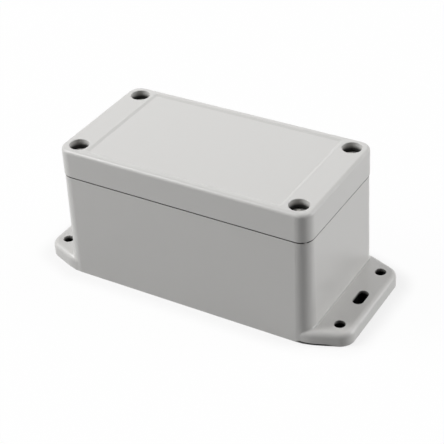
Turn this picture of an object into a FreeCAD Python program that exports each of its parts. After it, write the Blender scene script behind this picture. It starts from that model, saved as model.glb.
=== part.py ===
import FreeCAD, Part
import math
import os
from enum import IntEnum
from types import SimpleNamespace

import Sketcher
from FreeCAD import Vector

# Plastic project box: a moulded tub with end flanges, a screwed lid, its seal and its fasteners.
# Millimetres. X runs along the box, +Y to the back, +Z up. The origin is the centre of the
# mounting face, on the surface that the box stands on.

SIZES = {
    # Outside of the box
    "box_length": 116.0,          # outside length of the lid
    "box_width": 60.0,            # outside width of the lid
    "box_height": 61.0,           # mounting face to the lid's top
    "corner_radius": 5.8,         # upright corners of the lid
    "lid_height": 12.6,           # lid's lower edge to its top
    "lid_overhang": 0.25,         # how far the lid stands out over the base's rim
    "parting_gap": 0.4,           # shadow gap between the base's shoulder and the lid
    "base_flare": 0.8,            # how much each side spreads from the rim down to the bottom
    "lid_taper": 0.1,             # how much each lid side draws in towards the top
    "wall": 2.6,                  # side walls of the base at the rim
    "floor": 2.6,                 # floor of the base
    "floor_fillet": 1.5,          # inside, where walls meet floor
    "edge_round": 0.3,            # edges either side of the shadow gap
    # Mounting flanges
    "flange_thickness": 6.2,      # edge height of the flanges
    "flange_edge_round": 2.4,     # top edge all round the flanges
    "flange_margin": 6.6,         # plastic around a mounting hole, the flange's corner radius
    "flange_side_inset": 0.2,     # flange side inside the tub's side, at the flange's top
    "flange_blend_radius": 20.0,  # soft bend where the flange leaves the tub's side
    "flange_blend_start": 4.8,    # where that bend starts, inside the lid's end plane
    "flange_root_fillet": 0.8,    # where the end wall meets the flange
    "mount_offset": 8.4,          # mounting holes outside the lid's end plane
    "mount_inset": 10.55,         # mounting holes inside the lid's side planes
    "mount_radius": 2.4,          # mounting holes and half the slot's width
    "slot_length": 9.6,           # centre slot, end to end
    "core_web": 2.2,              # plastic between a flange core and its neighbours
    "core_depth": 3.4,            # cores under the flanges
    "core_radius": 1.0,           # upright corners of those cores
    # Screw pillars and seal
    "screw_inset_x": 7.1,         # screw axes from the lid's ends
    "screw_inset_y": 6.9,         # screw axes from the lid's sides
    "pillar_radius": 5.8,         # inside of the tub, round a screw
    "pillar_fillet": 2.0,         # where a pillar meets the walls
    "pillar_land": 4.9,           # raised face that carries the lid, round a screw
    "tongue_width": 1.2,          # sealing tongue
    "tongue_height": 2.0,         # tongue above the lid's lower edge
    "groove_clearance": 0.25,     # each side of the tongue, in the lid's groove
    "seal_thickness": 1.2,        # pressed seal between the tongue and the groove's floor
    "seal_side_fit": 0.05,        # seal inside the groove, each side
    "insert_radius": 2.8,         # brass insert
    "insert_length": 8.0,
    "insert_waist": 0.35,         # depth of the groove round the insert
    "insert_band": 3.2,           # height of each knurled band
    "insert_bevel": 0.3,
    "relief_radius": 2.2,         # pilot hole below the insert
    "relief_depth": 3.0,
    # Lid
    "lid_plate": 3.0,             # lid's top, outside the panel
    "lid_edge_round": 1.6,        # top edge of the lid
    "lip_width": 1.2,             # lid's inner lip, inside the groove
    "panel_inset_x": 12.55,       # recessed panel's outline from the lid's ends
    "panel_inset_y": 2.9,         # recessed panel's outline from the lid's sides
    "panel_depth": 0.4,
    "panel_slope": 1.3,           # how far its sides slope in on the way down
    "panel_radius": 1.9,
    "counterbore_radius": 4.15,
    "counterbore_depth": 6.8,
    "counterbore_round": 0.25,
    "screw_hole_radius": 2.25,
    # Screws
    "thread_radius": 1.93,        # plain stand-in for a 4 mm thread
    "thread_clearance": 0.07,     # between that and the insert's bore
    "screw_length": 14.0,
    "screw_tip": 0.6,
    "head_radius": 3.8,
    "head_height": 3.1,
    "head_round": 0.8,
    "recess_reach": 2.2,          # half the span of the cross recess
    "recess_arm": 0.55,           # half the width of its arms
    "recess_depth": 1.6,
    # Inside of the tub
    "standoff_radius": 3.2,
    "standoff_height": 5.0,
    "standoff_pitch_x": 76.0,
    "standoff_pitch_y": 34.0,
    "pilot_radius": 1.25,
    "pilot_depth": 4.2,
    "rib_pitch": 24.0,            # card guides apart along the long walls
    "rib_slot": 1.8,              # gap that a card slides in
    "rib_width": 1.2,
    "rib_reach": 1.2,
    "rib_root": 0.65,             # how deep the ribs reach into the wall
    "rib_drop": 6.0,              # ribs end this far below the shoulder
}


class Size:
    """A length as a number together with the sheet expression that it comes from."""

    def __init__(self, text, value):
        self.text = text
        self.value = value

    def __add__(self, other):
        other = as_size(other)
        return Size(f"({self.text} + {other.text})", self.value + other.value)

    def __sub__(self, other):
        other = as_size(other)
        return Size(f"({self.text} - {other.text})", self.value - other.value)

    def __mul__(self, other):
        other = as_size(other)
        return Size(f"({self.text} * {other.text})", self.value * other.value)

    def __truediv__(self, other):
        other = as_size(other)
        return Size(f"({self.text} / {other.text})", self.value / other.value)

    def __neg__(self):
        return Size(f"(-1 * {self.text})", -self.value)


def as_size(number):
    return number if isinstance(number, Size) else Size(str(number), float(number))


def slope(rise, run):
    """The angle, in degrees, whose tangent is rise over run."""
    return Size(f"atan({rise.text} / {run.text})", math.degrees(math.atan(rise.value / run.value)))


doc = FreeCAD.newDocument("ProjectBox")
sheet = doc.addObject("Spreadsheet::Sheet", "Sizes")
for row, (word, number) in enumerate(SIZES.items(), start=1):
    sheet.set(f"A{row}", word)
    sheet.set(f"B{row}", str(number))
    sheet.setAlias(f"B{row}", word)
doc.recompute()

size = SimpleNamespace(**{word: Size(f"Sizes.{word}", number) for word, number in SIZES.items()})

# Planes and heights that several pieces share
NOTHING = as_size(0)
END_WALL = size.box_length / 2
SIDE_WALL = size.box_width / 2
LID_BOTTOM = size.box_height - size.lid_height
SHOULDER = LID_BOTTOM - size.parting_gap
TONGUE_TOP = LID_BOTTOM + size.tongue_height
GROOVE_TOP = TONGUE_TOP + size.seal_thickness
SEAT = size.box_height - size.counterbore_depth
RIM_X = END_WALL - size.lid_overhang
RIM_Y = SIDE_WALL - size.lid_overhang
SCREW_X = END_WALL - size.screw_inset_x
SCREW_Y = SIDE_WALL - size.screw_inset_y
MOUNT_X = END_WALL + size.mount_offset
MOUNT_Y = SIDE_WALL - size.mount_inset

CORNERS = {
    "front_left": (-1, -1),
    "front_right": (1, -1),
    "rear_right": (1, 1),
    "rear_left": (-1, 1),
}

# Points of a sketch element, and the sketch's own axes; the level one starts at its origin
START, END, CENTRE = IntEnum("Point", "START END CENTRE")
UPRIGHT_AXIS, LEVEL_AXIS = IntEnum("Axis", "UPRIGHT LEVEL", start=-2)

NEARLY = 1e-3


def bind(item, name, amount):
    item.setExpression(name, amount.text)


def new_body(label):
    body = doc.addObject("PartDesign::Body", label)
    body.Label = label
    return body


def new_sketch(body, name, height=NOTHING, plane="XY_Plane"):
    """A sketch on one of the body's own origin planes, lifted along its normal."""
    sketch = body.newObject("Sketcher::SketchObject", name)
    support = next(item for item in body.Origin.OriginFeatures if item.Role == plane)
    sketch.AttachmentSupport = (support, [""])
    sketch.MapMode = "FlatFace"
    bind(sketch, "AttachmentOffset.Base.z", height)
    return sketch


def dimension(sketch, kind, *where, amount):
    index = sketch.addConstraint(Sketcher.Constraint(kind, *where, amount.value))
    bind(sketch, f"Constraints[{index}]", amount)


def place(sketch, element, point, x, y):
    """Fixes a point of an element at x, y from the sketch's origin; None leaves a direction free."""
    for kind, amount in (("DistanceX", x), ("DistanceY", y)):
        if amount is None:
            continue
        if amount.value >= 0:
            dimension(sketch, kind, LEVEL_AXIS, START, element, point, amount=amount)
        else:
            dimension(sketch, kind, element, point, LEVEL_AXIS, START, amount=-amount)


def add_line(sketch, start, end):
    return sketch.addGeometry(Part.LineSegment(Vector(*start, 0), Vector(*end, 0)), False)


def add_arc(sketch, centre, radius, first, last):
    circle = Part.Circle(Vector(*centre, 0), Vector(0, 0, 1), radius)
    return sketch.addGeometry(Part.ArcOfCircle(circle, first, last), False)


def add_circle(sketch, x, y, radius):
    circle = Part.Circle(Vector(x.value, y.value, 0), Vector(0, 0, 1), radius.value)
    index = sketch.addGeometry(circle, False)
    place(sketch, index, CENTRE, x, y)
    dimension(sketch, "Radius", index, amount=radius)


def join_loop(sketch, pieces, kind="Tangent"):
    """Joins elements end to end into a closed loop; each piece is (element, way in, way out)."""
    following = pieces[1:] + pieces[:1]
    for (element, _, leaving), (neighbour, entering, _) in zip(pieces, following):
        sketch.addConstraint(Sketcher.Constraint(kind, element, leaving, neighbour, entering))


def rounded_outline(sketch, corners):
    """An outline of arcs joined by the straight lines that touch both neighbours.

    Each corner is (centre x, centre y, radius), in order against the clock. The line from one
    circle to the next leaves where the outward normal makes both circles reach equally far.
    """
    following = corners[1:] + corners[:1]
    normals = []
    for (x, y, radius), (next_x, next_y, next_radius) in zip(corners, following):
        step_x = next_x.value - x.value
        step_y = next_y.value - y.value
        lean = math.acos((radius.value - next_radius.value) / math.hypot(step_x, step_y))
        normals.append(math.atan2(step_y, step_x) - lean)
    pieces = []
    for number, (x, y, radius) in enumerate(corners):
        first = normals[number - 1]
        last = normals[number]
        while last <= first:
            last += 2 * math.pi
        arc = add_arc(sketch, (x.value, y.value), radius.value, first, last)
        next_x, next_y, next_radius = following[number]
        way = (math.cos(last), math.sin(last))
        line = add_line(
            sketch,
            (x.value + radius.value * way[0], y.value + radius.value * way[1]),
            (next_x.value + next_radius.value * way[0], next_y.value + next_radius.value * way[1]),
        )
        pieces += [(arc, START, END), (line, START, END)]
    join_loop(sketch, pieces)
    for number, (x, y, radius) in enumerate(corners):
        arc = pieces[2 * number][0]
        place(sketch, arc, CENTRE, x, y)
        dimension(sketch, "Radius", arc, amount=radius)


def rounded_rectangle(sketch, half_x, half_y, radius, centre_x=NOTHING, centre_y=NOTHING):
    reach_x = half_x - radius
    reach_y = half_y - radius
    rounded_outline(sketch, [
        (centre_x + reach_x, centre_y - reach_y, radius),
        (centre_x + reach_x, centre_y + reach_y, radius),
        (centre_x - reach_x, centre_y + reach_y, radius),
        (centre_x - reach_x, centre_y - reach_y, radius),
    ])


def pillared_outline(sketch, offset):
    """The tub's inside seen from above, moved outwards by offset, or inwards where negative.

    Straight walls turn through a fillet into a round notch about each screw's axis, and the
    three arcs of a corner keep their centres at every offset.
    """
    half_x = RIM_X - size.wall + offset
    half_y = RIM_Y - size.wall + offset
    fillet = size.pillar_fillet + offset
    notch = size.pillar_radius - offset
    reach = notch.value + fillet.value
    side_x = half_x.value - fillet.value
    side_y = SCREW_Y.value - math.sqrt(reach ** 2 - (side_x - SCREW_X.value) ** 2)
    end_y = half_y.value - fillet.value
    end_x = SCREW_X.value - math.sqrt(reach ** 2 - (end_y - SCREW_Y.value) ** 2)
    side_turn = math.atan2(SCREW_Y.value - side_y, SCREW_X.value - side_x)
    end_turn = math.atan2(SCREW_Y.value - end_y, SCREW_X.value - end_x)

    def corner(sign_x, sign_y):
        """The corner's arcs from the end wall to the side wall, mirrored where a sign is -1."""

        def mirrored(centre, radius, first, last):
            if sign_x < 0:
                first, last = math.pi - last, math.pi - first
            if sign_y < 0:
                first, last = -last, -first
            return add_arc(sketch, (sign_x * centre[0], sign_y * centre[1]), radius, first, last)

        near_end = mirrored((side_x, side_y), fillet.value, 0, side_turn)
        about_screw = mirrored((SCREW_X.value, SCREW_Y.value), notch.value,
                               end_turn + math.pi, side_turn + math.pi)
        near_side = mirrored((end_x, end_y), fillet.value, end_turn, math.pi / 2)
        place(sketch, about_screw, CENTRE, SCREW_X * sign_x, SCREW_Y * sign_y)
        dimension(sketch, "Radius", about_screw, amount=notch)
        dimension(sketch, "Radius", near_end, amount=fillet)
        dimension(sketch, "Radius", near_side, amount=fillet)
        arcs = [(near_end, START, END), (about_screw, END, START), (near_side, START, END)]
        return arcs if sign_x == sign_y else arcs[::-1]

    def wall_line(start, end, kind, x, y):
        line = add_line(sketch, start, end)
        sketch.addConstraint(Sketcher.Constraint(kind, line))
        place(sketch, line, START, x, y)
        return [(line, START, END)]

    long_x, long_y = half_x.value, half_y.value
    pieces = wall_line((long_x, -side_y), (long_x, side_y), "Vertical", half_x, None)
    pieces += corner(1, 1)
    pieces += wall_line((end_x, long_y), (-end_x, long_y), "Horizontal", None, half_y)
    pieces += corner(-1, 1)
    pieces += wall_line((-long_x, side_y), (-long_x, -side_y), "Vertical", -half_x, None)
    pieces += corner(-1, -1)
    pieces += wall_line((-end_x, -long_y), (end_x, -long_y), "Horizontal", None, -half_y)
    pieces += corner(1, -1)
    join_loop(sketch, pieces)


def polygon(sketch, points):
    """A closed loop of straight lines through points whose places are all fixed."""
    following = points[1:] + points[:1]
    pieces = []
    for (x, y), (next_x, next_y) in zip(points, following):
        line = add_line(sketch, (x.value, y.value), (next_x.value, next_y.value))
        pieces.append((line, START, END))
    join_loop(sketch, pieces, "Coincident")
    for (line, _, _), (x, y) in zip(pieces, points):
        if x is NOTHING:
            sketch.addConstraint(Sketcher.Constraint("PointOnObject", line, START, UPRIGHT_AXIS))
            x = None
        place(sketch, line, START, x, y)


def box_outline(sketch, x, y, width, depth):
    """A sharp-cornered rectangle, given by its centre, its width along X and depth along Y."""
    sides = [(1, -1), (1, 1), (-1, 1), (-1, -1)]
    points = [(x + width / 2 * sign_x, y + depth / 2 * sign_y) for sign_x, sign_y in sides]
    polygon(sketch, points)


def extrude(body, kind, name, sketch, length, reverse=False, taper=None):
    """A pad, which adds upwards, or a pocket, which cuts downwards, unless it is reversed."""
    before = body.Shape.Volume if body.Tip else 0.0
    feature = body.newObject(f"PartDesign::{kind}", name)
    feature.Profile = sketch
    feature.Reversed = reverse
    bind(feature, "Length", length)
    if taper is not None:
        bind(feature, "TaperAngle", taper)
    doc.recompute()
    change = body.Shape.Volume - before
    if (change > 0) != (kind == "Pad"):
        raise RuntimeError(f"{name} changed nothing")
    return feature


def pad(body, name, sketch, length, reverse=False, taper=None):
    return extrude(body, "Pad", name, sketch, length, reverse, taper)


def pocket(body, name, sketch, length, reverse=False, taper=None):
    return extrude(body, "Pocket", name, sketch, length, reverse, taper)


def round_edges(body, name, radius, chosen):
    """Rounds the edges of the body's latest feature that pass the test."""
    latest = body.Tip
    names = [f"Edge{number}" for number, edge in enumerate(latest.Shape.Edges, start=1) if chosen(edge)]
    if not names:
        raise RuntimeError(f"{name} found no edges")
    fillet = body.newObject("PartDesign::Fillet", name)
    fillet.Base = (latest, names)
    bind(fillet, "Radius", radius)
    doc.recompute()
    return fillet


def lies_at(edge, height):
    """True for an edge whose start, middle and end lie in the level plane at that height."""
    return all(abs(point.z - height.value) < NEARLY for point in edge.discretize(Number=3))


def is_circle(edge, radius):
    return isinstance(edge.Curve, Part.Circle) and abs(edge.Curve.Radius - radius.value) < NEARLY


def screw_circles(sketch, radius):
    for sign_x, sign_y in CORNERS.values():
        add_circle(sketch, SCREW_X * sign_x, SCREW_Y * sign_y, radius)


# Base
# A tub on a mounting plate that reaches past both ends

def spread(height):
    """How far the tub's outside has spread at a height, measured from its rim."""
    return size.base_flare * (SHOULDER - height) / SHOULDER


def mounting_plate(body):
    side = RIM_Y + spread(size.flange_thickness) - size.flange_side_inset
    bend_x = END_WALL - size.flange_blend_start
    bend_y = side - size.flange_blend_radius
    sketch = new_sketch(body, "PlateOutline")
    corners = []
    for sign_x, sign_y in ((1, -1), (1, 1), (-1, 1), (-1, -1)):
        bend = (bend_x * sign_x, bend_y * sign_y, size.flange_blend_radius)
        tip = (MOUNT_X * sign_x, MOUNT_Y * sign_y, size.flange_margin)
        corners += [bend, tip] if sign_x != sign_y else [tip, bend]
    rounded_outline(sketch, corners)
    pad(body, "MountingPlate", sketch, size.flange_thickness)
    round_edges(body, "PlateTopEdge", size.flange_edge_round,
                lambda edge: lies_at(edge, size.flange_thickness))


def tub(body):
    outline = new_sketch(body, "RimOutline", SHOULDER)
    rounded_rectangle(outline, RIM_X, RIM_Y, size.corner_radius - size.lid_overhang)
    pad(body, "Tub", outline, SHOULDER, reverse=True, taper=slope(size.base_flare, SHOULDER))


def flange_roots(body):
    """Fillets where the two end walls and their corners stand on the flanges."""
    flare = spread(size.flange_thickness)
    radius = (size.corner_radius - size.lid_overhang + flare).value
    straight_x = (RIM_X + flare).value - radius
    straight_y = (RIM_Y + flare).value - radius

    def at_root(edge):
        middle = edge.valueAt((edge.FirstParameter + edge.LastParameter) / 2)
        past_x = max(abs(middle.x) - straight_x, 0)
        past_y = max(abs(middle.y) - straight_y, 0)
        on_tub = abs(math.hypot(past_x, past_y) - radius) < NEARLY
        return on_tub and lies_at(edge, size.flange_thickness)

    round_edges(body, "FlangeRoots", size.flange_root_fillet, at_root)


def rim(body):
    round_edges(body, "ShoulderEdge", size.edge_round, lambda edge: lies_at(edge, SHOULDER))
    lands = new_sketch(body, "LandCircles", SHOULDER)
    screw_circles(lands, size.pillar_land)
    pad(body, "PillarLands", lands, size.parting_gap)
    tongue = new_sketch(body, "TongueOutline", SHOULDER)
    pillared_outline(tongue, size.tongue_width)
    pad(body, "Tongue", tongue, TONGUE_TOP - SHOULDER)


def inside(body):
    outline = new_sketch(body, "InsideOutline", TONGUE_TOP)
    pillared_outline(outline, NOTHING)
    pocket(body, "Inside", outline, TONGUE_TOP - size.floor)
    round_edges(body, "FloorFillet", size.floor_fillet, lambda edge: lies_at(edge, size.floor))


def pillar_holes(body):
    seats = new_sketch(body, "InsertCircles", LID_BOTTOM)
    screw_circles(seats, size.insert_radius)
    pocket(body, "InsertHoles", seats, size.insert_length)
    relief = new_sketch(body, "ReliefCircles", LID_BOTTOM)
    screw_circles(relief, size.relief_radius)
    pocket(body, "ReliefHoles", relief, size.insert_length + size.relief_depth)


def mounting_holes(body):
    sketch = new_sketch(body, "MountCircles", size.flange_thickness)
    for sign_x in (-1, 1):
        slot_reach = size.slot_length / 2 - size.mount_radius
        rounded_outline(sketch, [
            (MOUNT_X * sign_x, -slot_reach, size.mount_radius),
            (MOUNT_X * sign_x, slot_reach, size.mount_radius),
        ])
        for sign_y in (-1, 1):
            add_circle(sketch, MOUNT_X * sign_x, MOUNT_Y * sign_y, size.mount_radius)
    pocket(body, "MountingHoles", sketch, size.flange_thickness)


def flange_cores(body):
    """Hollows under each flange, between the slot and the two holes."""
    inner_y = size.slot_length / 2 + size.core_web
    outer_y = MOUNT_Y - size.mount_radius - size.core_web
    inner_x = RIM_X + size.base_flare + size.core_web
    outer_x = MOUNT_X + size.flange_margin - size.core_web
    sketch = new_sketch(body, "CoreOutlines")
    for sign_x, sign_y in CORNERS.values():
        rounded_rectangle(sketch, (outer_x - inner_x) / 2, (outer_y - inner_y) / 2, size.core_radius,
                          (outer_x + inner_x) / 2 * sign_x, (outer_y + inner_y) / 2 * sign_y)
    pocket(body, "FlangeCores", sketch, size.core_depth, reverse=True)


def standoffs(body):
    posts = new_sketch(body, "StandoffCircles", size.floor)
    pilots = new_sketch(body, "PilotCircles", size.floor + size.standoff_height)
    for sign_x, sign_y in CORNERS.values():
        x = size.standoff_pitch_x / 2 * sign_x
        y = size.standoff_pitch_y / 2 * sign_y
        add_circle(posts, x, y, size.standoff_radius)
        add_circle(pilots, x, y, size.pilot_radius)
    pad(body, "Standoffs", posts, size.standoff_height)
    pocket(body, "Pilots", pilots, size.pilot_depth)


def card_guides(body):
    """Pairs of upright ribs on both long walls, with a slot between the two of a pair."""
    sketch = new_sketch(body, "GuideOutlines", size.floor)
    wall_y = RIM_Y - size.wall
    for sign_y in (-1, 1):
        for station in (-1, 0, 1):
            for sign_x in (-1, 1):
                x = size.rib_pitch * station + (size.rib_slot + size.rib_width) / 2 * sign_x
                y = (wall_y + (size.rib_root - size.rib_reach) / 2) * sign_y
                box_outline(sketch, x, y, size.rib_width, size.rib_reach + size.rib_root)
    pad(body, "CardGuides", sketch, SHOULDER - size.rib_drop - size.floor)


def build_base():
    body = new_body("base")
    mounting_plate(body)
    tub(body)
    flange_roots(body)
    rim(body)
    inside(body)
    pillar_holes(body)
    mounting_holes(body)
    flange_cores(body)
    standoffs(body)
    card_guides(body)
    return body


# Lid
# A cap with a panel sunk in its top, a groove for the seal and four sunk screw holes

def build_lid():
    body = new_body("lid")
    outline = new_sketch(body, "LidOutline", LID_BOTTOM)
    rounded_rectangle(outline, END_WALL, SIDE_WALL, size.corner_radius)
    pad(body, "Cap", outline, size.lid_height, taper=-slope(size.lid_taper, size.lid_height))
    round_edges(body, "LidTopEdge", size.lid_edge_round, lambda edge: lies_at(edge, size.box_height))
    round_edges(body, "LidLowerEdge", size.edge_round, lambda edge: lies_at(edge, LID_BOTTOM))

    panel = new_sketch(body, "PanelOutline", size.box_height)
    rounded_rectangle(panel, END_WALL - size.panel_inset_x, SIDE_WALL - size.panel_inset_y,
                      size.panel_radius)
    pocket(body, "Panel", panel, size.panel_depth, taper=-slope(size.panel_slope, size.panel_depth))

    hollow = new_sketch(body, "HollowOutline", LID_BOTTOM)
    pillared_outline(hollow, -(size.groove_clearance + size.lip_width))
    pocket(body, "Hollow", hollow, size.lid_height - size.lid_plate, reverse=True)

    groove = new_sketch(body, "GrooveOutline", LID_BOTTOM)
    pillared_outline(groove, size.tongue_width + size.groove_clearance)
    pillared_outline(groove, -size.groove_clearance)
    pocket(body, "SealGroove", groove, GROOVE_TOP - LID_BOTTOM, reverse=True)

    counterbores = new_sketch(body, "CounterboreCircles", size.box_height)
    screw_circles(counterbores, size.counterbore_radius)
    pocket(body, "Counterbores", counterbores, size.counterbore_depth)
    round_edges(body, "CounterboreEdges", size.counterbore_round,
                lambda edge: lies_at(edge, size.box_height) and is_circle(edge, size.counterbore_radius))
    holes = new_sketch(body, "ScrewHoleCircles", SEAT)
    screw_circles(holes, size.screw_hole_radius)
    pocket(body, "ScrewHoles", holes, SEAT - LID_BOTTOM)
    return body


# Seal
# A rubber ring that fills the top of the lid's groove and is pressed on by the tongue

def build_gasket():
    body = new_body("lid_gasket")
    outline = new_sketch(body, "SealOutline", TONGUE_TOP)
    pillared_outline(outline, size.tongue_width + size.groove_clearance - size.seal_side_fit)
    pillared_outline(outline, size.seal_side_fit - size.groove_clearance)
    pad(body, "Seal", outline, size.seal_thickness)
    return body


# Turned pieces
# Each stands on its own body's Z axis; the body's placement puts it at its corner

def turn(body, name, points):
    """Turns a closed outline of (radius, height) points about the body's Z axis."""
    sketch = new_sketch(body, f"{name}Profile", plane="XZ_Plane")
    polygon(sketch, points)
    revolution = body.newObject("PartDesign::Revolution", name)
    revolution.Profile = sketch
    revolution.ReferenceAxis = (sketch, ["V_Axis"])
    doc.recompute()


def stand_at(body, corner, height):
    sign_x, sign_y = CORNERS[corner]
    bind(body, "Placement.Base.x", SCREW_X * sign_x)
    bind(body, "Placement.Base.y", SCREW_Y * sign_y)
    bind(body, "Placement.Base.z", height)


def build_screw(corner):
    """A pan-head screw; its own height 0 is the face under the head."""
    body = new_body(f"lid_screw_{corner}")
    tip = -size.screw_length
    turn(body, "Screw", [
        (NOTHING, tip),
        (size.thread_radius - size.screw_tip, tip),
        (size.thread_radius, tip + size.screw_tip),
        (size.thread_radius, NOTHING),
        (size.head_radius, NOTHING),
        (size.head_radius, size.head_height),
        (NOTHING, size.head_height),
    ])
    round_edges(body, "HeadRound", size.head_round, lambda edge: lies_at(edge, size.head_height))
    cross = new_sketch(body, "CrossOutline", size.head_height)
    reach = size.recess_reach
    arm = size.recess_arm
    polygon(cross, [
        (reach, -arm), (reach, arm), (arm, arm), (arm, reach), (-arm, reach), (-arm, arm),
        (-reach, arm), (-reach, -arm), (-arm, -arm), (-arm, -reach), (arm, -reach), (arm, -arm),
    ])
    pocket(body, "CrossRecess", cross, size.recess_depth)
    stand_at(body, corner, SEAT)
    return body


def build_insert(corner):
    """A brass insert with two bands and a waist; its own height 0 is its lower end."""
    body = new_body(f"thread_insert_{corner}")
    bore = size.thread_radius + size.thread_clearance
    outer = size.insert_radius
    bevelled = outer - size.insert_bevel
    waist = outer - size.insert_waist
    top = size.insert_length
    turn(body, "Insert", [
        (bore, NOTHING),
        (bevelled, NOTHING),
        (outer, size.insert_bevel),
        (outer, size.insert_band),
        (waist, size.insert_band),
        (waist, top - size.insert_band),
        (outer, top - size.insert_band),
        (outer, top),
        (bore, top),
    ])
    stand_at(body, corner, LID_BOTTOM - size.insert_length)
    return body


pieces = [build_base(), build_lid(), build_gasket()]
pieces += [build_screw(corner) for corner in CORNERS]
pieces += [build_insert(corner) for corner in CORNERS]
doc.recompute()

for item in doc.Objects:
    if "Invalid" in item.State or "Error" in item.State:
        raise RuntimeError(f"{item.Label} failed: {item.State}")
for piece in pieces:
    shape = piece.Shape
    if shape.isNull() or not shape.isValid() or len(shape.Solids) != 1:
        raise RuntimeError(f"{piece.Label} is not one valid solid")

os.makedirs("parts", exist_ok=True)
for piece in pieces:
    piece.Shape.exportStep(f"parts/{piece.Label}.step")
    print(f"{piece.Label}: {piece.Shape.Volume / 1000:.2f} cm3")
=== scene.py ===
"""Plastic project box: a deep tub with end flanges, a screwed lid, a seal and fasteners.

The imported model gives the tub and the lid. The screws, the thread inserts and the seal are made
here in their finer form, and every surface gets its finish. Lengths are in metres in the part's
own frame: X along the box, Y to the back, Z up, the origin at the centre of the mounting face.
"""

import math

import bpy
import numpy as np
from bpy.props import FloatProperty, FloatVectorProperty, IntProperty, PointerProperty
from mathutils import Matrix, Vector


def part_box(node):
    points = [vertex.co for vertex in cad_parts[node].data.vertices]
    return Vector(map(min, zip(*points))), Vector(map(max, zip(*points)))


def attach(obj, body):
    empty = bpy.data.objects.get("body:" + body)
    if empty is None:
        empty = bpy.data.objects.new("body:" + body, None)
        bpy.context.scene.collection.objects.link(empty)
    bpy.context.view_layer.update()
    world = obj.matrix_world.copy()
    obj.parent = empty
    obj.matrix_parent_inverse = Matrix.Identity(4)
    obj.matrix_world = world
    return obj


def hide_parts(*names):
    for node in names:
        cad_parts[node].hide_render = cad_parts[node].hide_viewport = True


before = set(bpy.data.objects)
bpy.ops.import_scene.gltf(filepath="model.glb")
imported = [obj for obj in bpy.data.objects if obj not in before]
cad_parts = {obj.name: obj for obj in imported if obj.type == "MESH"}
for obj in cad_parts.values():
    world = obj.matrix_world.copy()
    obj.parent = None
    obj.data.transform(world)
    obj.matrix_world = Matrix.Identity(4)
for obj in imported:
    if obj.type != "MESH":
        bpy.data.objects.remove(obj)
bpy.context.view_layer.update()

bl_info = {
    "name": "Plastic project box",
    "version": (1, 0, 0),
    "blender": (4, 5, 0),
    "location": "3D View > Sidebar > Project box",
    "description": "Dresses a moulded project box with its screws, inserts, seal and finishes",
    "category": "Object",
}

CORNERS = ("front_left", "front_right", "rear_right", "rear_left")
CROSS_TURNS = (12.0, 28.0, 33.0, 76.0)  # Of the screws in those corners, in degrees
HOUSING = ("base", "lid")
FULL_TURN = 2 * math.pi
MILLIMETRE = 0.001
SHARP_ANGLE = 40.0  # Degrees between two faces from which their edge isn't smoothed
COLUMNS = 96  # Points round each ring of a turned piece
SEAL_COLUMNS = 24  # Points round the seal's section
WHITE = (1.0, 1.0, 1.0, 1.0)
BLACK = (0.0, 0.0, 0.0, 1.0)

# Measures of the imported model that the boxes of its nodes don't give
FLANGE_TOP = 0.0062
TUB_HALF_WIDTH = 0.03055
TONGUE_HALF_LENGTH, TONGUE_HALF_WIDTH = 0.05635, 0.02835
INSERT_RISE = 0.0004  # The inserts' tops above the tub's shoulder
SLANT_X, SLANT_Y = 0.3486, 0.9373  # The way that a flange's slanting side faces


# Settings

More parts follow.
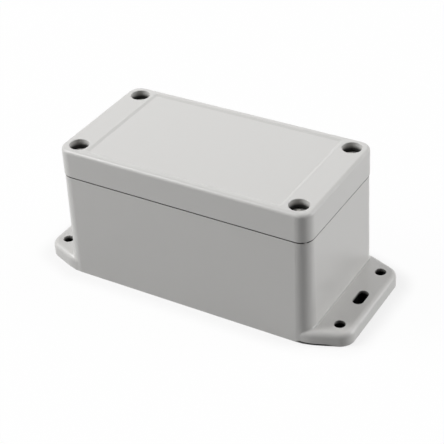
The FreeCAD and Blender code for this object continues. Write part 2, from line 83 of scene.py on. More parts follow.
class HousingSettings(bpy.types.PropertyGroup):
    plastic: FloatVectorProperty(
        name="Plastic", description="Colour of the moulded plastic",
        subtype="COLOR", size=3, min=0, max=1, default=(0.62, 0.614, 0.6))
    tone_change: FloatProperty(
        name="Tone change",
        description="How much lighter or darker the plastic gets in soft clouds",
        subtype="FACTOR", min=0, max=1, default=0.012)
    roughness: FloatProperty(
        name="Roughness", description="Roughness of the satin surface",
        subtype="FACTOR", min=0, max=1, default=0.34)
    screw_hole_radius: FloatProperty(
        name="Screw hole radius", description="Sunk holes that take the screw heads",
        unit="LENGTH", default=0.00415)
    # Painted shade in the sunk screw holes: their plastic darkens with depth
    screw_hole_shade_tone: FloatProperty(
        name="Screw hole tone",
        description="Tone of the plastic deep in those holes, against the outside",
        subtype="FACTOR", min=0, max=1, default=0.07)
    screw_hole_shade_start: FloatProperty(
        name="Screw hole start", description="Depth at which the screw holes start to darken",
        unit="LENGTH", default=0.001)
    screw_hole_shade_fade: FloatProperty(
        name="Screw hole fade", description="Depth at which the screw holes are darkest",
        unit="LENGTH", default=0.0032)
    # Painted shade in the mounting holes and slots, darkest from this depth
    mount_shade_fade: FloatProperty(
        name="Mount fade", description="Depth at which the mounting holes are darkest",
        unit="LENGTH", default=0.002)
    mount_along: FloatProperty(
        name="Mount along", description="Mounting holes from the middle, along the box",
        unit="LENGTH", default=0.0664)
    mount_across: FloatProperty(
        name="Mount across", description="Mounting holes from the middle, across the box",
        unit="LENGTH", default=0.01945)
    mount_radius: FloatProperty(
        name="Mount radius", description="Mounting holes and half the slot's width",
        unit="LENGTH", default=0.0024)
    flange_corner: FloatProperty(
        name="Flange corner", description="Radius of a flange's corner round its mounting hole",
        unit="LENGTH", default=0.0066)
    slot_straight: FloatProperty(
        name="Slot straight", description="Half the straight part of the slot",
        unit="LENGTH", default=0.0024)
    # Painted shade in the mounting holes and slots
    mount_shade_tone: FloatProperty(
        name="Mount tone",
        description="Tone of the plastic in the mounting holes, against the outside",
        subtype="FACTOR", min=0, max=1, default=0.02)
    # Painted shade on the two faces of the gap below the lid
    gap_shade_tone: FloatProperty(
        name="Gap tone",
        description="Tone of the two faces of the gap below the lid, against the outside",
        subtype="FACTOR", min=0, max=1, default=0.25)
    # Painted shade on the fillet at each flange's root, which dims its highlight
    root_wall: FloatProperty(
        name="Root wall", description="End walls from the middle, just above the flanges",
        unit="LENGTH", default=0.05843)
    root_shade_tone: FloatProperty(
        name="Root tone",
        description="Tone of the fillet at each flange's root, against the outside",
        subtype="FACTOR", min=0, max=1, default=0.68)
    # Painted contact shadow along the bottom of the right flange's slanting sides
    foot_shadow_height: FloatProperty(
        name="Foot height",
        description="Height of the dark foot of the right flange's slanting sides",
        unit="LENGTH", default=0.00085)
    foot_shadow_tone: FloatProperty(
        name="Foot tone", description="Tone of that foot, against the outside",
        subtype="FACTOR", min=0, max=1, default=0.15)
    grain_size: FloatProperty(
        name="Grain size", description="Width of the finest bumps of the moulded texture",
        unit="LENGTH", default=0.00042)
    grain_height: FloatProperty(
        name="Grain height", description="Height of the finest bumps",
        unit="LENGTH", default=0.000012)
    ripple_size: FloatProperty(
        name="Ripple size", description="Width of the soft unevenness that cooling leaves",
        unit="LENGTH", default=0.011)
    ripple_height: FloatProperty(
        name="Ripple height", description="Height of that unevenness",
        unit="LENGTH", default=0.00003)


class ScrewSettings(bpy.types.PropertyGroup):
    steel: FloatVectorProperty(
        name="Steel", description="Colour of the zinc-plated steel",
        subtype="COLOR", size=3, min=0, max=1, default=(0.74, 0.73, 0.7))
    roughness: FloatProperty(
        name="Roughness", description="Roughness of the plated steel",
        subtype="FACTOR", min=0, max=1, default=0.44)
    length: FloatProperty(
        name="Length", description="Underside of the head to the tip",
        unit="LENGTH", default=0.014)
    thread_radius: FloatProperty(
        name="Thread radius", description="Crest of the thread", unit="LENGTH", default=0.00192)
    thread_depth: FloatProperty(
        name="Thread depth", description="Crest to root", unit="LENGTH", default=0.0004)
    pitch: FloatProperty(
        name="Pitch", description="Rise of the thread in one turn", unit="LENGTH", default=0.0007)
    tip: FloatProperty(
        name="Tip", description="Height of the bevelled tip", unit="LENGTH", default=0.0006)
    head_radius: FloatProperty(
        name="Head radius", description="Widest part of the pan head",
        unit="LENGTH", default=0.0038)
    head_height: FloatProperty(
        name="Head height", description="Seat to the crown", unit="LENGTH", default=0.0031)
    head_round: FloatProperty(
        name="Head round", description="Radius of the head's upper edge",
        unit="LENGTH", default=0.0008)
    crown: FloatProperty(
        name="Crown", description="How far the middle of the head stands up",
        unit="LENGTH", default=0.00012)
    recess_reach: FloatProperty(
        name="Recess reach", description="Half the span of the cross recess",
        unit="LENGTH", default=0.0022)
    recess_arm: FloatProperty(
        name="Recess arm", description="Half the width of one arm at its mouth",
        unit="LENGTH", default=0.00056)
    recess_depth: FloatProperty(
        name="Recess depth", description="Depth of the recess", unit="LENGTH", default=0.0016)


class InsertSettings(bpy.types.PropertyGroup):
    brass: FloatVectorProperty(
        name="Brass", description="Colour of the turned brass",
        subtype="COLOR", size=3, min=0, max=1, default=(0.76, 0.58, 0.3))
    roughness: FloatProperty(
        name="Roughness", description="Roughness of the turned brass",
        subtype="FACTOR", min=0, max=1, default=0.28)
    bore_radius: FloatProperty(
        name="Bore radius", description="Crest of the inside thread",
        unit="LENGTH", default=0.002)
    thread_depth: FloatProperty(
        name="Thread depth", description="Crest to root of the inside thread",
        unit="LENGTH", default=0.00032)
    pitch: FloatProperty(
        name="Pitch", description="Rise of the thread in one turn", unit="LENGTH", default=0.0007)
    band_height: FloatProperty(
        name="Band height", description="Height of each knurled band",
        unit="LENGTH", default=0.0032)
    waist_depth: FloatProperty(
        name="Waist depth", description="Depth of the groove between the bands",
        unit="LENGTH", default=0.00035)
    knurl_depth: FloatProperty(
        name="Knurl depth", description="Depth of the knurl's grooves",
        unit="LENGTH", default=0.00018)
    knurl_count: IntProperty(
        name="Knurl count", description="Ridges round each band", default=24)
    bevel: FloatProperty(
        name="Bevel", description="Bevel at the ends and at the mouth of the bore",
        unit="LENGTH", default=0.0003)


class SealSettings(bpy.types.PropertyGroup):
    rubber: FloatVectorProperty(
        name="Rubber", description="Colour of the seal",
        subtype="COLOR", size=3, min=0, max=1, default=(0.028, 0.028, 0.03))
    roughness: FloatProperty(
        name="Roughness", description="Roughness of the rubber",
        subtype="FACTOR", min=0, max=1, default=0.62)
    half_length: FloatProperty(
        name="Half length", description="Middle of the seal to the box's middle, along the box",
        unit="LENGTH", default=0.05575)
    half_width: FloatProperty(
        name="Half width", description="Middle of the seal to the box's middle, across the box",
        unit="LENGTH", default=0.02775)
    fillet: FloatProperty(
        name="Fillet", description="Bend beside a screw pillar, at the middle of the seal",
        unit="LENGTH", default=0.0026)
    notch: FloatProperty(
        name="Notch", description="Bend round a screw pillar, at the middle of the seal",
        unit="LENGTH", default=0.0052)
    width: FloatProperty(
        name="Width", description="Width of the seal in its groove",
        unit="LENGTH", default=0.0016)


class StudioSettings(bpy.types.PropertyGroup):
    camera_place: FloatVectorProperty(
        name="Camera", description="Where the camera stands",
        subtype="TRANSLATION", unit="LENGTH", size=3, default=(0.24317, -0.38663, 0.33557))
    camera_turn: FloatVectorProperty(
        name="Camera turn", description="The camera's turns about X, Y and Z",
        subtype="EULER", unit="ROTATION", size=3,
        default=tuple(math.radians(turn) for turn in (55.595, 2.668, 30.156)))
    lens: FloatProperty(
        name="Lens", description="Focal length in millimetres on a 36 mm sensor", default=105.916)
    lamp_side: FloatProperty(
        name="Lamp side", description="Side of each square lamp", unit="LENGTH", default=0.8)
    lamp_distance: FloatProperty(
        name="Lamp distance", description="How far each lamp stands from the point it faces",
        unit="LENGTH", default=1.6)
    lamp_aim: FloatProperty(
        name="Lamp aim", description="Height of the point that the lamps face",
        unit="LENGTH", default=0.03)
    ambient: FloatProperty(
        name="Ambient", description="Light that comes from all round", min=0, default=0.0)
    floor: FloatVectorProperty(
        name="Floor", description="Colour of the floor",
        subtype="COLOR", size=3, min=0, max=1, default=(0.85, 0.85, 0.85))
    floor_return: FloatProperty(
        name="Floor return", description="Share of the light that the floor sends back up",
        subtype="FACTOR", min=0, max=1, default=0.42)
    shade_reach: FloatProperty(
        name="Shade reach", description="How far the floor's own shade shows round the box",
        unit="LENGTH", default=0.01)


# Shader building

class Amount:
    """A number that varies over a surface. Combining amounts adds Math nodes to the recipe."""

    def __init__(self, recipe, socket):
        self.recipe = recipe
        self.socket = socket

    def math(self, operation, *values):
        sockets = dict(enumerate(values))
        node = self.recipe.node("ShaderNodeMath", {"operation": operation}, sockets)
        return Amount(self.recipe, node.outputs[0])

    def __add__(self, other):
        return self.math("ADD", self, other)

    __radd__ = __add__

    def __sub__(self, other):
        return self.math("SUBTRACT", self, other)

    def __rsub__(self, other):
        return self.math("SUBTRACT", other, self)

    def __mul__(self, other):
        return self.math("MULTIPLY", self, other)

    __rmul__ = __mul__

    def __abs__(self):
        return self.math("ABSOLUTE", self)

    def root(self):
        return self.math("SQRT", self)

    def larger(self, other):
        return self.math("MAXIMUM", self, other)

    def smaller(self, other):
        return self.math("MINIMUM", self, other)

    def between(self, low, high):
        """0 below low, 1 above high, and a smooth step from one to the other."""
        node = self.recipe.node(
            "ShaderNodeMapRange", {"interpolation_type": "SMOOTHSTEP"},
            {"Value": self, "From Min": low, "From Max": high})
        return Amount(self.recipe, node.outputs["Result"])

    def past(self, level, edge):
        """0 before a soft edge and 1 behind it. The edge's two ends are counted from a level."""
        start, end = edge
        return self.between(level + start, level + end)

    def swing(self, width):
        """An amount from 0 to 1 as one of that width that lies evenly about 0."""
        return (self - 0.5) * width


class Recipe:
    """The nodes of one material or of the world."""

    def __init__(self, owner):
        owner.use_nodes = True
        self.tree = owner.node_tree
        self.tree.nodes.clear()

    def node(self, kind, settings=None, sockets=None):
        """Adds a node, sets its settings first and then the values or links of its sockets."""
        made = self.tree.nodes.new(kind)
        for name, value in (settings or {}).items():
            setattr(made, name, value)
        for name, value in (sockets or {}).items():
            if isinstance(value, Amount):
                value = value.socket
            if isinstance(value, bpy.types.NodeSocket):
                self.tree.links.new(value, made.inputs[name])
            else:
                made.inputs[name].default_value = value
        return made

    def place(self):
        """Where a point lies in the part's own frame."""
        return self.node("ShaderNodeTexCoord").outputs["Object"]

    def coordinates(self):
        split = self.node("ShaderNodeSeparateXYZ", None, {0: self.place()})
        return [Amount(self, output) for output in split.outputs]

    def clouds(self, place, scale, detail):
        """Noise at a place, from 0 to 1."""
        node = self.node("ShaderNodeTexNoise", None, {
            "Vector": place, "Scale": scale, "Detail": detail})
        return Amount(self, node.outputs["Fac"])

    def noise(self, width, detail):
        """A cloud of bumps of about that width, from 0 to 1."""
        return self.clouds(self.place(), 1 / width, detail)

    def marks(self, scale, detail, stretch=(1.0, 1.0, 1.0)):
        """The marks that turning leaves on a piece with a turning map, from 0 to 1."""
        turning = self.node("ShaderNodeUVMap", {"uv_map": "turning"}).outputs[0]
        stretched = self.node("ShaderNodeMapping", None, {"Vector": turning, "Scale": stretch})
        return self.clouds(stretched.outputs[0], scale, detail)

    def blend(self, share, first, second):
        """The first colour, with a share of the second mixed in."""
        node = self.node("ShaderNodeMix", {"data_type": "RGBA"}, {0: share, 6: first, 7: second})
        return node.outputs[2]

    def bump(self, height, distance, below=None):
        sockets = {"Height": height, "Distance": distance, "Strength": 1.0}
        if below is not None:
            sockets["Normal"] = below
        return self.node("ShaderNodeBump", None, sockets).outputs[0]

    def surface(self, colour, roughness, normal, metallic=0.0):
        """The shader of an opaque surface, with metallic at 1 for a bare metal."""
        return self.node("ShaderNodeBsdfPrincipled", None, {
            "Base Color": colour, "Metallic": metallic, "Roughness": roughness, "Normal": normal})

    def mixed(self, share, first, second):
        """The first shader, with a share of the second mixed in."""
        return self.node("ShaderNodeMixShader", None, {
            0: share, 1: first.outputs[0], 2: second.outputs[0]})

    def finish(self, shader, kind="ShaderNodeOutputMaterial"):
        self.node(kind, None, {"Surface": shader.outputs[0]})


def new_recipe(name):
    material = bpy.data.materials.new(name)
    return material, Recipe(material)


def shade(colour, factor):
    return tuple(min(channel * factor, 1.0) for channel in colour) + (1.0,)


def hypotenuse(across, along):
    return (across * across + along * along).root()


def painted_hollow_shade(recipe, settings):
    """1 outside, and less in each hollow, where shade is painted by mixing black into the
    plastic.

    The painted shade darkens the screw holes and the mounting holes and slots, more with depth,
    the gap below the lid, the fillets at the flanges' roots, where it dims their highlight, and
    the foot of the right flange's slanting sides, where it stands in for a contact shadow. The
    holes lie alike in the four quarters of the box, so the distance to the nearest axis is that
    of |x| and |y| to one axis. A slot's axis is a line, so only what |y| has beyond the line's
    end counts.
    """
    # Soft edges: where each one starts and ends, counted from the face or height it follows
    hole_wall = (0.00004, 0.00016)
    screw_seat = (-0.0038, -0.0033)
    tongue_side = (-0.0001, 0.0001)
    gap_floor, gap_roof = (-0.00026, -0.00008), (-0.00002, 0.00012)
    root_side = (0.00002, 0.00012)
    root_low, root_high = (0.00001, 0.0001), (0.0005, 0.0009)
    foot_start_x, foot_start_y, foot_top = (0.052, 0.054), (0.026, 0.0275), (-0.0001, 0.0)

    rightward, y, z = recipe.coordinates()
    x, y = abs(rightward), abs(y)
    screw_x, screw_y, _, head_top = node_axis("lid_screw_rear_right")
    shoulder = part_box("thread_insert_rear_right")[1].z - INSERT_RISE
    lid_bottom, lid_top = (corner.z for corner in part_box("lid"))

    def within(distance, radius):
        return 1 - distance.past(radius, hole_wall)

    def below(rim, start, depth):
        """0 down to a start below the rim's height and 1 from a depth below it."""
        return 1 - z.between(rim - depth, rim - start)

    def darker(share, tone):
        return 1 - share * (1 - tone)

    # Painted shade down the screw holes, from a start below the lid's top to the darkest depth
    screw_hole = within(hypotenuse(x - screw_x, y - screw_y), settings.screw_hole_radius)
    screw_hole = screw_hole * z.past(head_top, screw_seat)
    screw_hole = screw_hole * below(lid_top, settings.screw_hole_shade_start, settings.screw_hole_shade_fade)

    # Painted shade in the mounting holes and slots, darkening below the flange's top
    from_hole = hypotenuse(x - settings.mount_along, y - settings.mount_across)
    past_slot = (y - settings.slot_straight).larger(0.0)
    from_slot = hypotenuse(x - settings.mount_along, past_slot)
    mount = within(from_hole.smaller(from_slot), settings.mount_radius)
    mount = mount * below(FLANGE_TOP, 0.0, settings.mount_shade_fade)

    # Painted shade on the gap's faces outside the tongue, from the shoulder to the lid's bottom
    gap = (x - TONGUE_HALF_LENGTH).larger(y - TONGUE_HALF_WIDTH).past(0.0, tongue_side)
    gap = gap * z.past(shoulder, gap_floor) * (1 - z.past(lid_bottom, gap_roof))
    # Painted shade on the fillet just above each flange's root, which dims its highlight
    root = (x - settings.root_wall).past(0.0, root_side)
    root = root * z.past(FLANGE_TOP, root_low) * (1 - z.past(FLANGE_TOP, root_high))
    # Painted contact shadow on the lowest part of the right flange's slanting sides
    foot = rightward.past(0.0, foot_start_x) * y.past(0.0, foot_start_y)
    foot = foot * (1 - z.past(settings.foot_shadow_height, foot_top))
    return (darker(screw_hole, settings.screw_hole_shade_tone) * darker(mount, settings.mount_shade_tone)
            * darker(gap, settings.gap_shade_tone) * darker(root, settings.root_shade_tone)
            * darker(foot, settings.foot_shadow_tone))


def moulded_plastic(settings):
    """Satin light plastic: fine moulded grain, soft ripples from cooling and faint clouds."""
    material, recipe = new_recipe("moulded_plastic")
    clouds = recipe.noise(settings.ripple_size * 3, detail=3.0)
    speckle = recipe.noise(settings.grain_size * 3, detail=2.0)
    clean = recipe.blend(clouds * 0.75 + speckle * 0.25,
                         shade(settings.plastic, 1 - settings.tone_change),
                         shade(settings.plastic, 1 + settings.tone_change))
    grain = recipe.noise(settings.grain_size, detail=3.0)
    ripples = recipe.noise(settings.ripple_size, detail=1.0)
    normal = recipe.bump(grain, settings.grain_height,
                         recipe.bump(ripples, settings.ripple_height))
    roughness = grain.swing(0.12) + clouds.swing(0.08) + settings.roughness
    shader = recipe.surface(clean, roughness, normal)
    # Black that the painted shade of the hollows mixes into the plastic
    dark = recipe.node("ShaderNodeBsdfDiffuse", None, {"Color": BLACK})
    recipe.finish(recipe.mixed(painted_hollow_shade(recipe, settings), dark, shader))
    return material


def plated_steel(settings):
    """Zinc-plated steel: turning marks round each screw and a slightly cloudy plating."""
    material, recipe = new_recipe("plated_steel")
    marks = recipe.marks(scale=9.0, detail=3.0, stretch=(2.0, 1.0, 1.0))
    plating = recipe.noise(width=0.0009, detail=3.0)
    colour = recipe.blend(plating, shade(settings.steel, 0.82), shade(settings.steel, 1.12))
    roughness = marks.swing(0.2) + plating.swing(0.2) + settings.roughness
    normal = recipe.bump(marks, distance=6e-6)
    recipe.finish(recipe.surface(colour, roughness, normal, metallic=1.0))
    return material


def turned_brass(settings):
    """Turned brass: fine rings from the tool and a warm, slightly uneven tone."""
    material, recipe = new_recipe("turned_brass")
    rings = recipe.marks(scale=14.0, detail=2.0)
    tone = recipe.noise(width=0.0016, detail=2.0)
    colour = recipe.blend(tone, shade(settings.brass, 0.86), shade(settings.brass, 1.1))
    roughness = rings.swing(0.16) + settings.roughness
    normal = recipe.bump(rings, distance=5e-6)
    recipe.finish(recipe.surface(colour, roughness, normal, metallic=1.0))
    return material


def soft_rubber(settings):
    """Black rubber: dull, faintly dusty, with a fine uneven skin."""
    material, recipe = new_recipe("soft_rubber")
    skin = recipe.noise(width=0.0005, detail=3.0)
    dust = recipe.noise(width=0.006, detail=4.0)
    dusty = shade(settings.rubber, 2.6)
    colour = recipe.blend(dust * 0.5, shade(settings.rubber, 1.0), dusty)
    roughness = dust.swing(0.2) + settings.roughness
    recipe.finish(recipe.surface(colour, roughness, recipe.bump(skin, distance=1.5e-5)))
    return material


# Mesh building

def grid_faces(rows, columns, closed_rows=False):
    """The four-cornered faces of a grid that is closed along its columns.

    Corner (i, j) joins (i + 1, j), (i + 1, j + 1) and (i, j + 1), so that a grid whose rows run
    down and whose columns run against the clock has its faces pointing outwards.
    """
    row = np.arange(rows if closed_rows else rows - 1)[:, None]
    column = np.arange(columns)[None, :]
    below = (row + 1) % rows
    beside = (column + 1) % columns
    corners = (row * columns + column, below * columns + column,
               below * columns + beside, row * columns + beside)
    return np.stack(np.broadcast_arrays(*corners), axis=-1).reshape(-1, 4)


def new_piece(name, points, faces, material):
    """A mesh object at the origin, smooth except where its faces meet at a sharp angle."""
    mesh = bpy.data.meshes.new(name)
    mesh.from_pydata(points.tolist(), [], [list(face) for face in faces])
    mesh.polygons.foreach_set("use_smooth", np.ones(len(mesh.polygons), bool))
    mesh.set_sharp_from_angle(angle=math.radians(SHARP_ANGLE))
    mesh.materials.append(material)
    piece = bpy.data.objects.new(name, mesh)
    bpy.context.scene.collection.objects.link(piece)
    return piece


def add_turning_map(piece, points):
    """A UV map of a turned piece, from its points about its own axis.

    Across it goes |angle| / a full turn, and along it the distance from the axis less the height,
    in millimetres.
    """
    across = np.abs(np.arctan2(points[:, 1], points[:, 0])) / FULL_TURN
    along = (np.hypot(points[:, 0], points[:, 1]) - points[:, 2]) / MILLIMETRE
    mesh = piece.data
    order = np.zeros(len(mesh.loops), np.int32)
    mesh.loops.foreach_get("vertex_index", order)
    pairs = np.stack([across[order], along[order]], axis=-1)
    mesh.uv_layers.new(name="turning").data.foreach_set("uv", pairs.astype(np.float32).ravel())


def ridge(phase, root=0.16, crest=0.14):
    """One ridge for each whole number of phase, from 0 in the root to 1 on the flat crest.

    The triangle wave 1 - |2 * fraction - 1| is scaled so that its lowest share is the root and
    its highest share the crest.
    """
    wave = 1 - np.abs(2 * np.mod(phase, 1.0) - 1)
    return np.clip((wave - root) / (1 - root - crest), 0, 1)


def arc(centre, radius, first, last, count):
    """Points (radius, height) on a circle, its angles counted from level, in degrees."""
    angles = np.radians(np.linspace(first, last, count))
    across, upward = radius * np.cos(angles), radius * np.sin(angles)
    return np.stack([centre[0] + across, centre[1] + upward], axis=-1)


def straight(start, end, count):
    """Evenly spaced points from start, which is left out, to end."""
    share = np.linspace(0, 1, count + 1)[1:, None]
    return np.array(start) * (1 - share) + np.array(end) * share


def turned_grid(outline):
    """Radius and height of an outline's points in every column, and the columns' angles."""
    angle = np.linspace(0, FULL_TURN, COLUMNS, endpoint=False)[None, :]
    radius = np.repeat(outline[:, :1], COLUMNS, axis=1)
    height = np.repeat(outline[:, 1:], COLUMNS, axis=1)
    return radius, height, angle


def turned_points(radius, height, angle):
    """Points at radius * cosine and radius * sine of the angle, and at the height."""
    return np.stack([radius * np.cos(angle), radius * np.sin(angle), height], axis=-1)


def screw_points(sizes, turn):
    """A pan-head screw as rings of points from the crown of its head down to its tip.

    A ring's radius and height follow the outline of the head, its seat, the shank and the tip.
    On the head each point sinks by the depth of the cross recess there: the deeper of two arms,
    where an arm's depth is the distance to its nearest wall over that wall's slope. On the shank
    the radius is the root's plus a ridge of height / pitch - angle / a full turn.
    """
    dome_rows, rows_a_turn = 40, 12
    pole_share, tip_share, runout_share = 0.02, 0.1, 0.2
    end_slope, side_slope = 0.5, 0.09
    flat = sizes.head_radius - sizes.head_round
    rim = sizes.head_height - sizes.crown - sizes.head_round
    lower_round, neck, tip_taper = 0.00012, 0.0002, 0.0001
    root = sizes.thread_radius - sizes.thread_depth
    tip_radius = root - tip_taper
    along_dome = np.linspace(pole_share, 1, dome_rows)
    dome_height = sizes.head_height - sizes.crown * along_dome ** 2
    dome = np.stack([flat * along_dome, dome_height], axis=-1)
    thread_rows = int(round(sizes.length / sizes.pitch * rows_a_turn))
    outline = np.concatenate([
        dome,
        arc((flat, rim), sizes.head_round, 90, 0, 12)[1:],
        straight((sizes.head_radius, rim), (sizes.head_radius, lower_round), 2),
        arc((sizes.head_radius - lower_round, lower_round), lower_round, 0, -90, 4)[1:],
        straight((sizes.head_radius - lower_round, 0), (root + neck, 0), 4),
        arc((root + neck, -neck), neck, 90, 180, 5)[1:],
        straight((root, -neck), (root, sizes.tip - sizes.length), thread_rows),
        straight((root, sizes.tip - sizes.length), (tip_radius, -sizes.length), 3),
        straight((tip_radius, -sizes.length), (tip_radius * tip_share, -sizes.length), 3),
    ])
    radius, height, angle = turned_grid(outline)
    x = radius * np.cos(angle - turn)
    y = radius * np.sin(angle - turn)

    def arm(lengthwise, crosswise):
        to_end = (sizes.recess_reach - np.abs(lengthwise)) / end_slope
        to_side = (sizes.recess_arm - np.abs(crosswise)) / side_slope
        return np.clip(np.minimum(to_end, to_side), 0, sizes.recess_depth)

    on_dome = np.arange(len(outline))[:, None] < dome_rows
    height = height - np.where(on_dome, np.maximum(arm(x, y), arm(y, x)), 0)

    below_neck = np.clip((-neck - height) / sizes.pitch, 0, 1)
    above_tip = np.clip((height - sizes.tip + sizes.length) / sizes.pitch + 1, 0, 1)
    thread = ridge(height / sizes.pitch - angle / FULL_TURN) * below_neck * above_tip
    on_shank = (height < -neck) & (height > -sizes.length + sizes.tip * runout_share)
    radius = radius + np.where(on_shank, thread * sizes.thread_depth, 0)
    return turned_points(radius, height, angle)


def closed_ends(rings, top, bottom):
    """Points and faces of a grid of rings with one more point that closes each end."""
    rows, columns = rings.shape[:2]
    points = np.concatenate([rings.reshape(-1, 3), [top, bottom]])
    around = np.arange(columns)
    beside = np.roll(around, -1)
    first, last = rows * columns, rows * columns + 1
    lowest = (rows - 1) * columns
    top_fan = np.stack([np.full(columns, first), around, beside], axis=-1)
    bottom_fan = np.stack([np.full(columns, last), lowest + beside, lowest + around], axis=-1)
    return points, grid_faces(rows, columns).tolist() + top_fan.tolist() + bottom_fan.tolist()


def insert_rings(sizes, outer, length):
    """A thread insert as a closed band of rings: down the outside, in, up the bore and out.

    The outside is knurled with ridges of count * angle / a full turn on its two bands, which a
    plain waist parts. The bore's radius grows by the thread's depth where there is no ridge of
    height / pitch - angle / a full turn.
    """
    rows_a_turn = 10
    bore, bevel = sizes.bore_radius, sizes.bevel
    waist = outer - sizes.waist_depth
    low_band, high_band = sizes.band_height, length - sizes.band_height
    bore_rows = int(round(length / sizes.pitch * rows_a_turn))
    outline = np.concatenate([
        [(outer, length)],
        straight((outer, length), (outer, high_band), 4),
        straight((outer, high_band), (waist, high_band), 1),
        straight((waist, high_band), (waist, low_band), 2),
        straight((waist, low_band), (outer, low_band), 1),
        straight((outer, low_band), (outer, bevel), 4),
        straight((outer, bevel), (outer - bevel, 0), 1),
        straight((outer - bevel, 0), (bore + bevel, 0), 1),
        straight((bore + bevel, 0), (bore, bevel), 1),
        straight((bore, bevel), (bore, length - bevel), bore_rows),
        straight((bore, length - bevel), (bore + bevel, length), 1),
    ])
    radius, height, angle = turned_grid(outline)
    on_band = (height >= high_band) | (height <= low_band)
    knurled = (radius > waist + MILLIMETRE * 0.01) & on_band
    knurl = 1 - ridge(sizes.knurl_count * angle / FULL_TURN, root=0.2, crest=0.3)
    radius = radius - np.where(knurled, knurl * sizes.knurl_depth, 0)
    in_bore = np.abs(radius - bore) < MILLIMETRE * 0.001
    groove = 1 - ridge(height / sizes.pitch - angle / FULL_TURN)
    fade = np.clip(np.minimum(height, length - height) / sizes.pitch, 0, 1)
    radius = radius + np.where(in_bore, groove * fade * sizes.thread_depth, 0)
    return turned_points(radius, height, angle)


def seal_path(sizes, screw_x, screw_y):
    """The middle line of the seal seen from above, with its outward direction at each point.

    Each corner is three arcs: a fillet, the notch round the screw's axis and a fillet. The
    notch bends the other way, so outwards there points at the screw. Straight runs join them.
    The point at which two arcs meet is left out of the second.
    """
    fillet_points, notch_points = 10, 30
    reach = sizes.fillet + sizes.notch
    side_x = sizes.half_length - sizes.fillet
    side_y = screw_y - math.sqrt(reach ** 2 - (side_x - screw_x) ** 2)
    end_y = sizes.half_width - sizes.fillet
    end_x = screw_x - math.sqrt(reach ** 2 - (end_y - screw_y) ** 2)
    side_turn = math.atan2(screw_y - side_y, screw_x - side_x)
    end_turn = math.atan2(screw_y - end_y, screw_x - end_x)
    arcs = (
        ((side_x, side_y), sizes.fillet, 0.0, side_turn, 1, fillet_points),
        ((screw_x, screw_y), sizes.notch, side_turn + math.pi, end_turn + math.pi, -1,
         notch_points),
        ((end_x, end_y), sizes.fillet, end_turn, math.pi / 2, 1, fillet_points),
    )
    places, outward = [], []
    for centre, radius, first, last, side, count in arcs:
        angles = np.linspace(first, last, count)
        if places:
            angles = angles[1:]
        direction = np.stack([np.cos(angles), np.sin(angles)], axis=-1)
        places.append(np.array(centre) + radius * direction)
        outward.append(direction * side)
    place, normal = np.concatenate(places), np.concatenate(outward)
    corners = []
    for sign_x, sign_y in ((1, 1), (-1, 1), (-1, -1), (1, -1)):
        flip = np.array([sign_x, sign_y])
        order = slice(None) if sign_x == sign_y else slice(None, None, -1)
        corners.append(np.stack([(place * flip)[order], (normal * flip)[order]]))
    path = np.concatenate(corners, axis=1)
    return path[0], path[1]


def seal_rings(sizes, path, outward, low, high):
    """The seal's section carried along its path, as one closed ring for each point of the path.

    The section is a rounded block: its two coordinates are the root of |cosine| and |sine| of
    the angle, with their signs, times half the width and half the height.
    """
    angle = np.linspace(0, FULL_TURN, SEAL_COLUMNS, endpoint=False)
    across = np.sign(np.cos(angle)) * np.abs(np.cos(angle)) ** 0.5 * sizes.width / 2
    upward = np.sign(np.sin(angle)) * np.abs(np.sin(angle)) ** 0.5 * (high - low) / 2
    flat = path[:, None, :] + outward[:, None, :] * across[None, :, None]
    height = np.broadcast_to((low + high) / 2 + upward, flat.shape[:2])
    return np.concatenate([flat, height[..., None]], axis=-1)


def node_axis(node):
    """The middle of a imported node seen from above, and its lowest and highest height."""
    low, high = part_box(node)
    return (low.x + high.x) / 2, (low.y + high.y) / 2, low.z, high.z


# Operators, one for each piece or group of like pieces

class PROJECTBOX_OT_finish_housing(bpy.types.Operator):
    """Gives the tub and the lid their moulded plastic"""

    bl_idname = "projectbox.finish_housing"
    bl_label = "Finish the housing"

    def execute(self, context):
        plastic = moulded_plastic(context.scene.project_box_housing)
        for name in HOUSING:
            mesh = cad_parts[name].data
            mesh.materials.clear()
            mesh.materials.append(plastic)
        return {"FINISHED"}


class PROJECTBOX_OT_make_screws(bpy.types.Operator):
    """Makes the four threaded pan-head screws of the lid"""

    bl_idname = "projectbox.make_screws"
    bl_label = "Make the lid screws"

    def execute(self, context):
        sizes = context.scene.project_box_screws
        steel = plated_steel(sizes)
        for corner, turn in zip(CORNERS, np.radians(CROSS_TURNS)):
            node = f"lid_screw_{corner}"
            x, y, _, top = node_axis(node)
            rings = screw_points(sizes, turn)
            points, faces = closed_ends(
                rings, (0, 0, rings[0, :, 2].mean()), (0, 0, -sizes.length))
            placed = points + np.array([x, y, top - sizes.head_height])
            screw = new_piece(f"pan_screw_{corner}", placed, faces, steel)
            add_turning_map(screw, points)
            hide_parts(node)
            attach(screw, node)
        return {"FINISHED"}


class PROJECTBOX_OT_make_inserts(bpy.types.Operator):
    """Makes the four knurled brass inserts in the tub's pillars"""

    bl_idname = "projectbox.make_inserts"
    bl_label = "Make the thread inserts"

    def execute(self, context):
        sizes = context.scene.project_box_inserts
        brass = turned_brass(sizes)
        for corner in CORNERS:
            node = f"thread_insert_{corner}"
            x, y, bottom, top = node_axis(node)
            low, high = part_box(node)
            rings = insert_rings(sizes, (high.x - low.x) / 2, top - bottom)
            points = rings.reshape(-1, 3)
            faces = grid_faces(*rings.shape[:2], closed_rows=True)
            placed = points + np.array([x, y, bottom])
            insert = new_piece(f"brass_insert_{corner}", placed, faces, brass)
            add_turning_map(insert, points)
            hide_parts(node)
            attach(insert, "base")
        return {"FINISHED"}


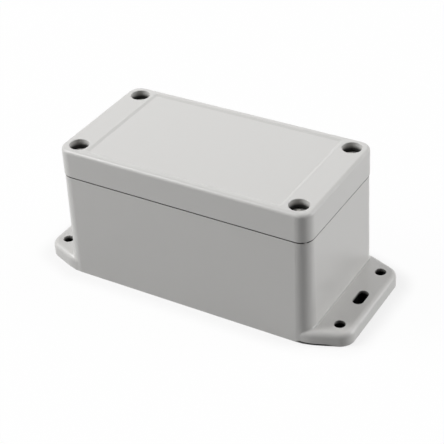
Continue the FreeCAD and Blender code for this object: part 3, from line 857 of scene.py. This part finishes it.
class PROJECTBOX_OT_make_seal(bpy.types.Operator):
    """Makes the rubber seal in the lid's groove"""

    bl_idname = "projectbox.make_seal"
    bl_label = "Make the seal"

    def execute(self, context):
        sizes = context.scene.project_box_seal
        screw_x, screw_y, _, _ = node_axis("lid_screw_rear_right")
        path, outward = seal_path(sizes, screw_x, screw_y)
        low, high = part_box("lid_gasket")
        rings = seal_rings(sizes, path, outward, low.z, high.z)
        faces = grid_faces(*rings.shape[:2], closed_rows=True)
        seal = new_piece("lid_seal", rings.reshape(-1, 3), faces, soft_rubber(sizes))
        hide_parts("lid_gasket")
        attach(seal, "lid")
        return {"FINISHED"}


def seen_directly(recipe):
    """1 for a ray from the camera, or one mirrored or let through on its way to it, else 0."""
    path = recipe.node("ShaderNodeLightPath")
    camera = Amount(recipe, path.outputs["Is Camera Ray"])
    glossy = Amount(recipe, path.outputs["Is Glossy Ray"])
    transmission = Amount(recipe, path.outputs["Is Transmission Ray"])
    return (camera + glossy + transmission).smaller(1.0)


def distance_outside_base(recipe, housing):
    """How far a point of the floor lies outside the base, so negative under it.

    It is the largest of the distances to the end, to the slanting side of a flange and to the
    tub's side. Past the first two the flange's corner is an arc round its mounting hole.
    """
    x, y, _ = recipe.coordinates()
    past_x, past_y = abs(x) - housing.mount_along, abs(y) - housing.mount_across
    end = past_x - housing.flange_corner
    slanting = past_x * SLANT_X + past_y * SLANT_Y - housing.flange_corner
    sides = end.larger(slanting).larger(abs(y) - TUB_HALF_WIDTH)
    corner = hypotenuse(past_x, past_y) - housing.flange_corner
    past_end = past_y.between(0.0, 1e-6)
    past_slant = (past_x * SLANT_Y - past_y * SLANT_X).between(0.0, 1e-6)
    return sides + (corner - sides) * past_end * past_slant


def make_floor(settings, housing):
    """A wide pale floor: white away from the box, itself beside it, painted shade under it."""
    reach = 3.0
    # Painted shade: near black under the base, fading out 0.4 mm past its edge
    painted_shade_under_base = (0.02, 0.02, 0.02, 1.0)
    painted_shade_edge, white_edge = (-0.001, 0.0004), (-0.0004, 0.0001)
    white_beside, white_added = 0.75, 0.22
    corners = ((-reach, -reach, 0), (reach, -reach, 0), (reach, reach, 0), (-reach, reach, 0))
    material, recipe = new_recipe("studio_floor")
    outside = distance_outside_base(recipe, housing)
    directly = seen_directly(recipe)
    lit = recipe.blend(directly, shade(settings.floor, settings.floor_return / settings.floor[0]),
                       shade(settings.floor, 1))
    colour = recipe.blend(outside.past(0.0, painted_shade_edge), painted_shade_under_base, lit)
    plain = recipe.node("ShaderNodeBsdfDiffuse", None, {"Color": colour})
    white = recipe.node("ShaderNodeEmission", None, {"Color": WHITE, "Strength": 1.0})
    share = outside.between(0.0, settings.shade_reach) * white_added + white_beside
    # No white glow over the painted shade under the base
    share = directly * share * outside.past(0.0, white_edge)
    recipe.finish(recipe.mixed(share, plain, white))
    floor = new_piece("floor", np.array(corners), [(0, 1, 2, 3)], material)


# Each lamp's degrees round the box from its front, degrees above the floor, and watts.
LAMPS = {
    "lamp_left": (-60, 45, 18.0),
    "lamp_left_low": (-60, 28, 7.3),
    "lamp_right": (135, 55, 8.8),
    "lamp_right_low": (120, 7, 15.3),
    "lamp_rear": (-150, 28, 1.5),
}


def add_lamp(name, settings, azimuth, elevation, power):
    """A square soft lamp that faces the middle of the box."""
    data = bpy.data.lights.new(name, "AREA")
    data.size = settings.lamp_side
    data.energy = power
    lamp = bpy.data.objects.new(name, data)
    azimuth, elevation = math.radians(azimuth), math.radians(elevation)
    level = math.cos(elevation)
    outward = Vector((math.sin(azimuth) * level, -math.cos(azimuth) * level, math.sin(elevation)))
    lamp.location = outward * settings.lamp_distance + Vector((0, 0, settings.lamp_aim))
    lamp.rotation_euler = outward.to_track_quat("Z", "Y").to_euler()
    bpy.context.scene.collection.objects.link(lamp)


def make_surroundings(settings):
    """Even light from all round, which shows as plain white."""
    world = bpy.data.worlds.new("studio_world")
    recipe = Recipe(world)
    light = recipe.node("ShaderNodeBackground", None, {
        "Color": WHITE, "Strength": settings.ambient})
    white = recipe.node("ShaderNodeBackground", None, {"Color": WHITE, "Strength": 1.0})
    recipe.finish(recipe.mixed(seen_directly(recipe), light, white), "ShaderNodeOutputWorld")
    bpy.context.scene.world = world


class PROJECTBOX_OT_set_stage(bpy.types.Operator):
    """Sets up the floor, the lamps, the surroundings and the camera"""

    bl_idname = "projectbox.set_stage"
    bl_label = "Set the stage"

    def execute(self, context):
        settings = context.scene.project_box_studio
        make_floor(settings, context.scene.project_box_housing)
        for name, (azimuth, elevation, power) in LAMPS.items():
            add_lamp(name, settings, azimuth, elevation, power)
        make_surroundings(settings)
        data = bpy.data.cameras.new("studio_camera")
        data.lens = settings.lens
        camera = bpy.data.objects.new("studio_camera", data)
        camera.location = settings.camera_place
        camera.rotation_euler = settings.camera_turn
        context.scene.collection.objects.link(camera)
        context.scene.camera = camera
        context.scene.view_settings.view_transform = "Standard"
        return {"FINISHED"}


class PROJECTBOX_PT_panel(bpy.types.Panel):
    """Lists the steps that dress the project box"""

    bl_idname = "PROJECTBOX_PT_panel"
    bl_label = "Project box"
    bl_space_type = "VIEW_3D"
    bl_region_type = "UI"
    bl_category = "Project box"

    def draw(self, context):
        for group, operator in STEPS:
            box = self.layout.box()
            settings = getattr(context.scene, group)
            for name in settings.__annotations__:
                box.prop(settings, name)
            box.operator(operator.bl_idname)


GROUPS = {
    "project_box_housing": HousingSettings,
    "project_box_screws": ScrewSettings,
    "project_box_inserts": InsertSettings,
    "project_box_seal": SealSettings,
    "project_box_studio": StudioSettings,
}
STEPS = (
    ("project_box_housing", PROJECTBOX_OT_finish_housing),
    ("project_box_screws", PROJECTBOX_OT_make_screws),
    ("project_box_inserts", PROJECTBOX_OT_make_inserts),
    ("project_box_seal", PROJECTBOX_OT_make_seal),
    ("project_box_studio", PROJECTBOX_OT_set_stage),
)
CLASSES = (*GROUPS.values(), *(operator for _, operator in STEPS), PROJECTBOX_PT_panel)


def register():
    for entry in CLASSES:
        bpy.utils.register_class(entry)
    for name, group in GROUPS.items():
        setattr(bpy.types.Scene, name, PointerProperty(type=group))


def unregister():
    for name in GROUPS:
        delattr(bpy.types.Scene, name)
    for entry in reversed(CLASSES):
        bpy.utils.unregister_class(entry)


def main():
    """Makes every piece and the stage."""
    register()
    bpy.ops.projectbox.finish_housing()
    bpy.ops.projectbox.make_screws()
    bpy.ops.projectbox.make_inserts()
    bpy.ops.projectbox.make_seal()
    bpy.ops.projectbox.set_stage()


if __name__ == "__main__":
    main()
